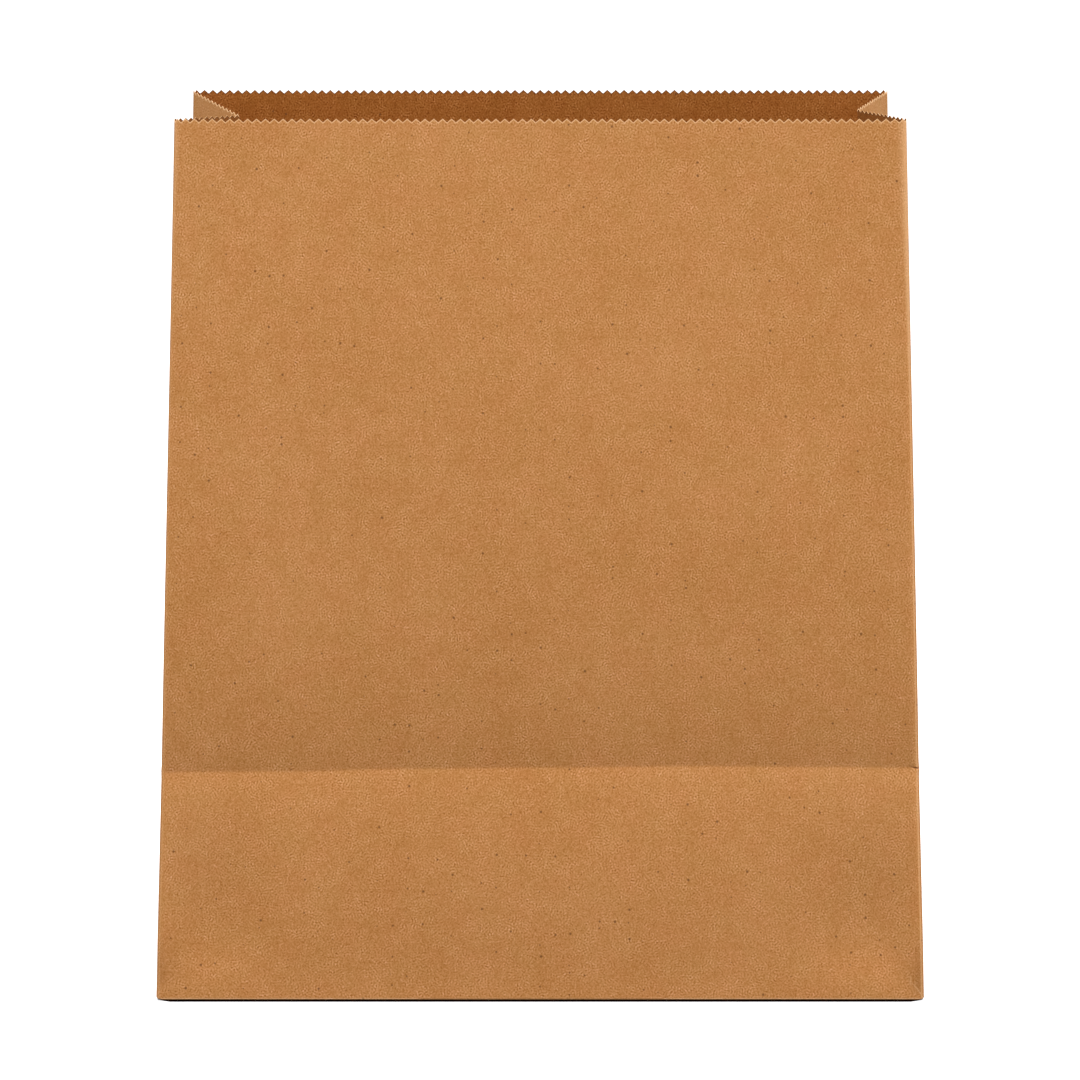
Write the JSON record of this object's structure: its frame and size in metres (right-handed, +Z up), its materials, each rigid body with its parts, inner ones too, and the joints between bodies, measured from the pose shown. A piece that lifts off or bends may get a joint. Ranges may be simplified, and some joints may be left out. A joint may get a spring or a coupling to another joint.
{
  "type": "brown paper lunch bag",
  "caption": "Open, self-standing kraft paper bag with a flat folded bottom, pleated side gussets, a pre-creased front panel and a zigzag-cut mouth.",
  "frame": {"origin": "middle of the base, on the surface that the bag stands on", "axes": "+Z up through the mouth, +X along the wide front panel to the viewer's right, +Y from the creased front panel to the seamed back panel"},
  "size_m": [0.305, 0.1842, 0.349],
  "materials": {
    "kraft": "matte"
  },
  "bodies": {
    "root": {"paper_bag": "kraft"}
  },
  "joints": []
}
